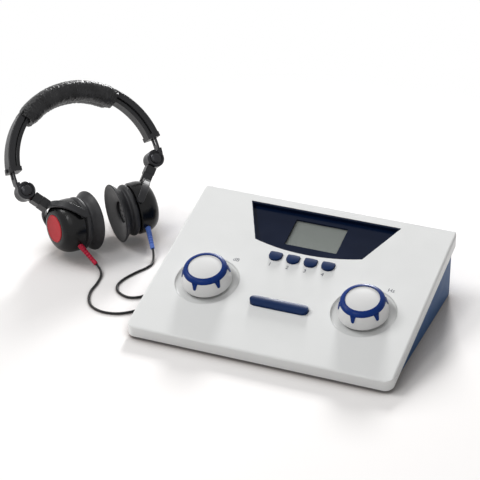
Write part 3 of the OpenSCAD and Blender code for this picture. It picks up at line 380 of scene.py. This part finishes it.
def two_colours(tree, share, a, b):
    """From colour a to colour b, as share goes from 0 to 1."""
    n = add(tree, "ShaderNodeMix", data_type="RGBA")
    n.inputs[6].default_value = (*a, 1)
    n.inputs[7].default_value = (*b, 1)
    tree.links.new(share, n.inputs[0])
    return n.outputs[2]


# ---------------------------------------------------------------- materials


class Shader:
    """A Principled material whose colour, roughness and bump come from procedural nodes."""

    def __init__(self, name, rough, metal=0.0, **sockets):
        self.m = bpy.data.materials.new(name)
        self.m.use_nodes = True
        self.t = self.m.node_tree
        self.b = self.t.nodes["Principled BSDF"]
        self.b.inputs["Roughness"].default_value = rough
        self.b.inputs["Metallic"].default_value = metal
        for k, v in sockets.items():
            self.b.inputs[k.replace("_", " ")].default_value = v
        self.where = self.node("ShaderNodeTexCoord").outputs["Object"]
        self.bumped = None

    def node(self, kind, **props):
        return add(self.t, kind, **props)

    def link(self, a, b):
        self.t.links.new(a, b)

    def noise(self, scale, detail=3, rough=0.55, stretch=None, distortion=0.0):
        n = self.node("ShaderNodeTexNoise")
        n.inputs["Scale"].default_value = scale
        n.inputs["Detail"].default_value = detail
        n.inputs["Roughness"].default_value = rough
        n.inputs["Distortion"].default_value = distortion
        self.link(self.placed(stretch), n.inputs["Vector"])
        return n.outputs["Fac"]

    def placed(self, stretch):
        if stretch is None:
            return self.where
        m = self.node("ShaderNodeMapping")
        m.inputs["Scale"].default_value = stretch
        self.link(self.where, m.inputs["Vector"])
        return m.outputs["Vector"]

    def cells(self, scale):
        n = self.node("ShaderNodeTexVoronoi", feature="F1")
        n.inputs["Scale"].default_value = scale
        self.link(self.where, n.inputs["Vector"])
        return n.outputs["Distance"]

    def colour(self, value, low, high, a, b):
        mixed = two_colours(self.t, ramp(self.t, value, low, high, 0, 1), a, b)
        self.link(mixed, self.b.inputs["Base Color"])
        return mixed

    def roughness(self, value, low, high, out_low, out_high):
        spread = ramp(self.t, value, low, high, out_low, out_high)
        self.link(spread, self.b.inputs["Roughness"])

    def bump(self, value, strength, distance):
        n = self.node("ShaderNodeBump")
        n.inputs["Strength"].default_value = strength
        n.inputs["Distance"].default_value = distance
        self.link(value, n.inputs["Height"])
        if self.bumped is not None:
            self.link(self.bumped, n.inputs["Normal"])
        self.link(n.outputs["Normal"], self.b.inputs["Normal"])
        self.bumped = n.outputs["Normal"]

    def moulded_skin(self, rough, spread=0.06, scale=900):
        """Faint unevenness of gloss, shallow sinks and a fine spark-eroded grain."""
        self.roughness(self.noise(60, 4), 0.3, 0.7, rough - spread, rough + spread)
        self.bump(self.noise(22, 2), 0.25, 0.0002)
        self.bump(self.noise(scale, 2), 0.35, 0.00004)


def tone(c, k):
    return tuple(min(1.0, v * k) for v in c)


def moulded(name, colour, rough, vary=0.03, spread=0.06, scale=900, **sockets):
    """Moulded plastic."""
    s = Shader(name, rough, **sockets)
    s.colour(s.noise(14, 4), 0.3, 0.7, tone(colour, 1 - vary), tone(colour, 1 + vary))
    s.moulded_skin(rough, spread, scale)
    return s.m


DULL = {"Specular_IOR_Level": 0.10}
SATIN = {"Specular_IOR_Level": 0.24}


def rubber(name, colour, rough, vary=0.12, scale=700):
    s = Shader(name, rough, **SATIN)
    s.colour(s.noise(90, 5), 0.3, 0.75, tone(colour, 1 - vary), tone(colour, 1 + vary * 1.6))
    s.roughness(s.noise(45, 4), 0.3, 0.7, rough - 0.1, rough + 0.12)
    s.bump(s.noise(scale, 3), 0.4, 0.00006)
    return s.m


def metal(name, colour, rough=0.3):
    """Brushed metal, its lines square to Z."""
    s = Shader(name, rough, 1.0)
    s.colour(s.noise(40, 4), 0.3, 0.7, tone(colour, 0.88), tone(colour, 1.08))
    brushed = s.noise(260, 3, stretch=(1, 1, 30))
    s.roughness(brushed, 0.3, 0.7, rough - 0.08, rough + 0.12)
    s.bump(brushed, 0.2, 0.00003)
    return s.m


def leather():
    s = Shader("pad_leather", 0.34, **SATIN)
    wide = s.noise(60, 5, distortion=0.6)
    s.colour(wide, 0.3, 0.75, (0.004, 0.004, 0.0045), (0.030, 0.030, 0.032))
    s.roughness(s.noise(160, 4), 0.3, 0.75, 0.24, 0.48)
    s.bump(s.noise(170, 6, 0.65, distortion=1.4), 0.75, 0.0010)
    s.bump(s.cells(1400), 0.3, 0.00012)
    return s.m


def clear():
    s = Shader("lens", 0.06, Alpha=0.22)
    s.colour(s.noise(8, 2), 0.3, 0.7, (0.50, 0.55, 0.52), (0.56, 0.60, 0.57))
    s.bump(s.noise(30, 2), 0.05, 0.0001)
    return s.m


DISH_EDGE = (0.0325, 0.0345)
DISH_PAINTED_SHADE = 0.80


def cover():
    """The white cover, with painted shade darkening the dishes round its dials."""
    colour, rough = (0.72, 0.726, 0.72), 0.42
    s = Shader("cover_white", rough)
    base = s.colour(s.noise(14, 4), 0.3, 0.7, tone(colour, 0.988), tone(colour, 1.012))
    # painted shade: within each dish round a dial the colour is multiplied down, where shade falls
    # in the recess
    painted_shades = []
    for x in (-DIAL_X, DIAL_X):
        away = s.node("ShaderNodeVectorMath", operation="DISTANCE")
        away.inputs[1].default_value = PANEL @ Vector((x * MM, DIAL_T * MM, 0))
        s.link(s.where, away.inputs[0])
        painted_shades.append(ramp(s.t, away.outputs["Value"], *DISH_EDGE, DISH_PAINTED_SHADE, 1.0))
    painted_shade_mix = s.node("ShaderNodeMix", data_type="RGBA", blend_type="MULTIPLY")
    painted_shade_mix.inputs[0].default_value = 1.0
    s.link(base, painted_shade_mix.inputs[6])
    s.link(maths(s.t, "MINIMUM", *painted_shades), painted_shade_mix.inputs[7])
    s.link(painted_shade_mix.outputs[2], s.b.inputs["Base Color"])
    s.moulded_skin(rough)
    return s.m


MATERIAL = {
    "cover_white": cover(),
    "knob_white": moulded("knob_white", (0.70, 0.70, 0.695), 0.34, vary=0.012),
    "side_blue": moulded("side_blue", (0.040, 0.092, 0.205), 0.45, vary=0.08, **DULL),
    "window_navy": moulded(
        "window_navy", (0.0022, 0.0068, 0.024), 0.22, vary=0.15, spread=0.04, **DULL
    ),
    "lcd_grey": moulded("lcd_grey", (0.088, 0.098, 0.088), 0.3, vary=0.04, **DULL),
    "key_navy": moulded("key_navy", (0.003, 0.018, 0.075), 0.46, vary=0.1, **DULL),
    "ring_blue": moulded("ring_blue", (0.004, 0.027, 0.16), 0.30, vary=0.12, **DULL),
    "switch_black": moulded("switch_black", (0.02, 0.02, 0.021), 0.45),
    "band_black": moulded("band_black", (0.020, 0.020, 0.022), 0.36, vary=0.12, scale=1100, **SATIN),
    "cup_black": moulded(
        "cup_black", (0.003, 0.003, 0.0034), 0.24, vary=0.1, spread=0.04, **SATIN
    ),
    "capsule_grey": moulded("capsule_grey", (0.03, 0.03, 0.032), 0.5),
    "badge_red": moulded("badge_red", (0.42, 0.022, 0.03), 0.35, vary=0.05, **DULL),
    "badge_blue": moulded("badge_blue", (0.02, 0.06, 0.34), 0.35, vary=0.05, **DULL),
    "plug_black": moulded("plug_black", (0.02, 0.02, 0.022), 0.4),
    "board_green": moulded("board_green", (0.02, 0.13, 0.06), 0.35, vary=0.15),
    "boot_red": rubber("boot_red", (0.40, 0.008, 0.035), 0.42, vary=0.06),
    "boot_blue": rubber("boot_blue", (0.10, 0.19, 0.58), 0.42, vary=0.06),
    "cushion_rubber": rubber("cushion_rubber", (0.026, 0.026, 0.028), 0.42),
    "cord_black": rubber("cord_black", (0.014, 0.014, 0.015), 0.4, scale=500),
    "foot_rubber": rubber("foot_rubber", (0.02, 0.02, 0.02), 0.7),
    "steel": metal("steel", (0.6, 0.61, 0.63)),
    "slider_steel": metal("slider_steel", (0.034, 0.034, 0.037)),
    "pad_leather": leather(),
    "lens": clear(),
}


def dress(obj, material):
    obj.data.materials.clear()
    obj.data.materials.append(MATERIAL[material])


SLOTS = {
    "top_cover": "cover_white", "base_shell": "side_blue", "display_bezel": "window_navy",
    "display_lens": "lens", "lcd_module": "lcd_grey", "main_board": "board_green",
    "key_switches": "switch_black", "tone_switch": "switch_black", "level_encoder": "switch_black",
    "frequency_encoder": "switch_black", "right_phone_jack": "switch_black",
    "left_phone_jack": "switch_black", "power_inlet": "switch_black",
    "power_switch_frame": "switch_black", "power_rocker": "switch_black", "feet": "foot_rubber",
    "base_screws": "steel", "board_screws": "steel", "tone_bar": "key_navy",
    "headband": "band_black", "right_band_end": "band_black", "left_band_end": "band_black",
}
for i in range(1, 5):
    SLOTS[f"button_{i}"] = "key_navy"
for dial in ("level", "frequency"):
    SLOTS[f"{dial}_dial_skirt"] = "knob_white"
    SLOTS[f"{dial}_dial_ring"] = "ring_blue"
    SLOTS[f"{dial}_dial_cap"] = "knob_white"
    SLOTS[f"{dial}_dial_shaft"] = "steel"
for name, hue in (("right", "red"), ("left", "blue")):
    SLOTS[f"{name}_slider"] = "slider_steel"
    SLOTS[f"{name}_stem"] = "band_black"
    SLOTS[f"{name}_fork"] = "band_black"
    SLOTS[f"{name}_cup_shell"] = "cup_black"
    SLOTS[f"{name}_badge"] = f"badge_{hue}"
    SLOTS[f"{name}_capsule"] = "capsule_grey"
    SLOTS[f"{name}_lead_boot"] = f"boot_{hue}"
    SLOTS[f"{name}_plug"] = "plug_black"
for key, value in SLOTS.items():
    dress(nodes[key], value)
for obj in leads:
    dress(obj, "cord_black")

# ---------------------------------------------------------------- head pad

BAND_R, BAND_DEPTH = 85.3, 18
OUTER_LAYER, INNER_LAYER, LAYER_GROOVE = 7.5, 4.7, 0.8
OUTER_R0 = BAND_R - OUTER_LAYER / 2 + 0.95
OUTER_R1 = OUTER_R0 + OUTER_LAYER
INNER_R1 = OUTER_R0 - LAYER_GROOVE
INNER_R0 = INNER_R1 - INNER_LAYER
BAND_H = OUTER_R1 - INNER_R0
PAD_END, PAD_H, PAD_DEPTH = 48.5, 23, 31
PAD_MID = INNER_R0 + BAND_H / 2 - (PAD_H - BAND_H) / 2 + 1.5
PAD_ROOM = 0.5
PAD_RINGS, PAD_SIDES, WALL_EVERY = 300, 120, 30
CREASE_TURNS, CREASE_ROUND = 14, 1.2


def smoothstep(u):
    u = min(1, max(0, u))
    return u * u * (3 - 2 * u)


def super_round(q, half_x, half_y, k):
    c, s = math.cos(q), math.sin(q)
    return (
        half_x * math.copysign(abs(c) ** k, c),
        half_y * math.copysign(abs(s) ** k, s),
    )


def along_arch(u, r, y):
    """The point at a share u of the pad's length, r from the arch's centre and y across it."""
    a = rad(PAD_END + (180 - 2 * PAD_END) * u)
    return Vector((r * math.cos(a) * MM, y * MM, (BAND_Z + r * math.sin(a)) * MM))


def crease_height(u, q):
    """How far the leather stands out, in mm, at a share u of its length and an angle q round it."""
    e = min(u, 1 - u)
    place = Vector((u * CREASE_TURNS, math.cos(q) * CREASE_ROUND, math.sin(q) * CREASE_ROUND))
    # creases that run across the sleeve, deepest on its inner side and at its ends
    crease = noise.noise(Vector((place.x * 2.6, place.y * 0.9, place.z * 0.9)))
    gather = noise.noise(Vector((place.x * 5.5 + 20, place.y * 1.5, place.z * 1.5)))
    fine = noise.noise(Vector((place.x * 11.0 + 40, place.y * 2.6, place.z * 2.6)))
    inner = 0.7 + 0.4 * max(0, -math.cos(q)) + 0.4 * (1 - smoothstep(e / 0.08))
    d = 0.2 - inner * (0.9 * abs(crease) ** 0.6 + 0.75 * abs(gather) ** 0.8 + 0.35 * abs(fine))
    d += 0.45 * (1 - smoothstep(e / 0.02)) * (0.6 + gather)
    # the stitched seam along the inner side
    seam = math.exp(-(((q - math.pi) * PAD_DEPTH / 2 / 1.1) ** 2)) if math.cos(q) < 0 else 0
    return d - 0.55 * seam


def make_pad():
    verts = []
    for i in range(PAD_RINGS + 1):
        u = i / PAD_RINGS
        full = 0.80 + 0.20 * smoothstep(min(u, 1 - u) / 0.09) + 0.02 * math.sin(math.pi * u)
        for k in range(PAD_SIDES):
            q = 2 * math.pi * k / PAD_SIDES
            x, y = super_round(q, PAD_H / 2 * full, PAD_DEPTH / 2 * full, 0.7)
            n = Vector((math.cos(q), math.sin(q)))
            d = crease_height(u, q)
            verts.append(along_arch(u, PAD_MID + (x + n.x * d), y + n.y * d))
    # the inner wall, close round the band
    mid, half = (INNER_R0 + OUTER_R1) / 2, BAND_H / 2 + PAD_ROOM
    for i in range(PAD_RINGS, -1, -WALL_EVERY):
        for k in range(PAD_SIDES):
            q = 2 * math.pi * k / PAD_SIDES
            x, y = super_round(q, half, BAND_DEPTH / 2 + PAD_ROOM, 0.35)
            verts.append(along_arch(i / PAD_RINGS, mid + x, y))
    rows = len(verts) // PAD_SIDES
    faces = []
    for i in range(rows):
        here, after = i * PAD_SIDES, (i + 1) % rows * PAD_SIDES
        for k in range(PAD_SIDES):
            q = (k + 1) % PAD_SIDES
            faces.append((here + k, here + q, after + q, after + k))
    obj = new_object("head_pad", [HEADSET @ v for v in verts], faces)
    face_outwards(obj)
    dress(obj, "pad_leather")
    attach(obj, "console")
    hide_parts("headband_pad")


make_pad()

# ---------------------------------------------------------------- ear cushions

CUSHION_SIDES = 96


def bead(c, r, a0, a1, n):
    """A round corner: n steps from angle a0 to a1 on the circle of radius r about c."""
    angles = [rad(a0 + (a1 - a0) * i / n) for i in range(n + 1)]
    return [(c[0] + r * math.cos(a), c[1] + r * math.sin(a)) for a in angles]


def make_cushion(name):
    side = SIDE[name]
    r, hole, cavity, neck, roll, web, top = 32.5, 12.0, 20.3, 24.6, 26.1, 9.0, 19.5
    profile = (
        [(hole, web)]
        + bead((hole + 1.2, 7.4), 1.2, 180, 245, 4)
        + [(16, 5.45), (20, 4.2), (24, 2.95), (28, 1.7), (r - 2.4, 0.45)]
        + bead((r - 1, 1), 1, -120, 60, 8)
        + [(r - 1.3, 2.7), (r - 2.6, 4.4), (r - 4.4, 6.2), (r - 6.2, 7.8), (neck + 0.5, web)]
        + [(neck, 10.4), (neck + 0.1, 11.2)]
        + bead((roll - 0.8, 15.2), 3.5, -62, 62, 12)
        + [(roll - 0.2, 18.7), (roll - 0.4, top), (cavity, top), (cavity, web)]
    )
    verts, faces = lathe(profile, CUSHION_SIDES)
    place = cup_frame(side)
    out = []
    for v in verts:
        q = math.atan2(v.y, v.x)
        sag = noise.noise(Vector((math.cos(q) * 1.3 + 5 * side, math.sin(q) * 1.3, v.z * 60)))
        k = 1 + 0.003 * sag - 0.0015
        out.append(place @ Vector((v.x * k, v.y * k, v.z)))
    obj = new_object(f"{name}_ear_cushion", out, faces, mirrored=side < 0)
    face_outwards(obj)
    dress(obj, "cushion_rubber")
    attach(obj, f"{name}_cup")
    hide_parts(f"{name}_cushion")


for name in ("right", "left"):
    make_cushion(name)

# ---------------------------------------------------------------- printed marks

MARK_SIZE, MARK_T, MARK_LIFT = 6.5, 0.00002, 0.03
ink = moulded("ink", (0.03, 0.035, 0.06), 0.5)


def plate_text(name, text, s, t):
    """A mark printed on the panel, its middle at s across and t up it in mm."""
    data = bpy.data.curves.new(name, "FONT")
    data.body = text
    data.size = MARK_SIZE * MM
    data.align_x = "CENTER"
    data.align_y = "CENTER"
    data.extrude = MARK_T
    data.materials.append(ink)
    obj = place_in_scene(name, data)
    obj.matrix_world = PANEL @ at(s, t, MARK_LIFT)
    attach(obj, "console")


for i in range(4):
    plate_text(f"mark_{i + 1}", str(i + 1), (i - 1.5) * KEY_PITCH - 2, 120.0)
plate_text("mark_db", "dB", -66, 117)
plate_text("mark_hz", "Hz", 101, 117)

# ---------------------------------------------------------------- floor and light

WHITE = (1, 1, 1, 1)
NEAR = 0.05
FADE_FROM, FADE_TO = 0.2, 0.6


def backdrop_rays(tree):
    """1 for the rays that should meet a plain white backdrop: camera, glossy and transmission."""
    rays = add(tree, "ShaderNodeLightPath")
    found = rays.outputs["Is Camera Ray"]
    for kind in ("Is Glossy Ray", "Is Transmission Ray"):
        found = maths(tree, "MAXIMUM", found, rays.outputs[kind])
    return found


floor_mesh = bpy.data.meshes.new("floor")
floor_mesh.from_pydata([(-4, -4, 0), (4, -4, 0), (4, 6, 0), (-4, 6, 0)], [], [(0, 1, 2, 3)])
floor = place_in_scene("floor", floor_mesh)
floor_material = bpy.data.materials.new("floor")
floor_material.use_nodes = True
ft = floor_material.node_tree
ft.nodes.remove(ft.nodes["Principled BSDF"])
# painted shadow: the floor's colour darkens to brown close to what stands on it
near = add(ft, "ShaderNodeAmbientOcclusion", samples=12)
near.inputs["Distance"].default_value = NEAR
open_sky = ramp(ft, near.outputs["AO"], 0.35, 0.95, 0, 1, "SMOOTHSTEP")
painted_shadow_colour = two_colours(ft, open_sky, (0.20, 0.165, 0.15), (0.92, 0.90, 0.89))
diffuse = add(ft, "ShaderNodeBsdfDiffuse")
ft.links.new(painted_shadow_colour, diffuse.inputs["Color"])
glow = add(ft, "ShaderNodeEmission")
glow.inputs["Color"].default_value = WHITE
glow.inputs["Strength"].default_value = 1.0
# far from the object the floor fades to plain white
centre = add(ft, "ShaderNodeVectorMath", operation="LENGTH")
ft.links.new(add(ft, "ShaderNodeTexCoord").outputs["Object"], centre.inputs[0])
fade = ramp(ft, centre.outputs["Value"], FADE_FROM, FADE_TO, 0.06, 1.0, "SMOOTHSTEP")
share = maths(ft, "MULTIPLY", backdrop_rays(ft), fade)
mix = add(ft, "ShaderNodeMixShader")
ft.links.new(share, mix.inputs[0])
ft.links.new(diffuse.outputs[0], mix.inputs[1])
ft.links.new(glow.outputs[0], mix.inputs[2])
ft.links.new(mix.outputs[0], ft.nodes["Material Output"].inputs["Surface"])
floor_mesh.materials.append(floor_material)

world = bpy.data.worlds.new("world")
bpy.context.scene.world = world
world.use_nodes = True
wt = world.node_tree
sky = wt.nodes["Background"]
sky.inputs["Color"].default_value = WHITE
level = ramp(wt, backdrop_rays(wt), 0, 1, 0.30, 1.0)
wt.links.new(level, sky.inputs["Strength"])


def area_light(name, place, target, size, power):
    data = bpy.data.lights.new(name, "AREA")
    data.energy = power
    data.size = size
    obj = place_in_scene(name, data)
    obj.location = place
    way = Vector(target) - Vector(place)
    obj.rotation_euler = way.to_track_quat("-Z", "Y").to_euler()


ON_TABLE, ON_HEADSET = (-0.05, 0, 0.03), (-0.24, 0.05, 0.06)
area_light("key", (-1.6, -0.2, 1.9), ON_TABLE, 0.9, 27)
area_light("back", (-0.55, 2.2, 1.05), ON_TABLE, 0.5, 66)
area_light("fill", (0.2, -1.5, 1.5), ON_TABLE, 1.0, 3)
area_light("rim", (-0.35, -0.8, 1.15), ON_HEADSET, 0.22, 2.5)

scene = bpy.context.scene
scene.view_settings.view_transform = "Standard"
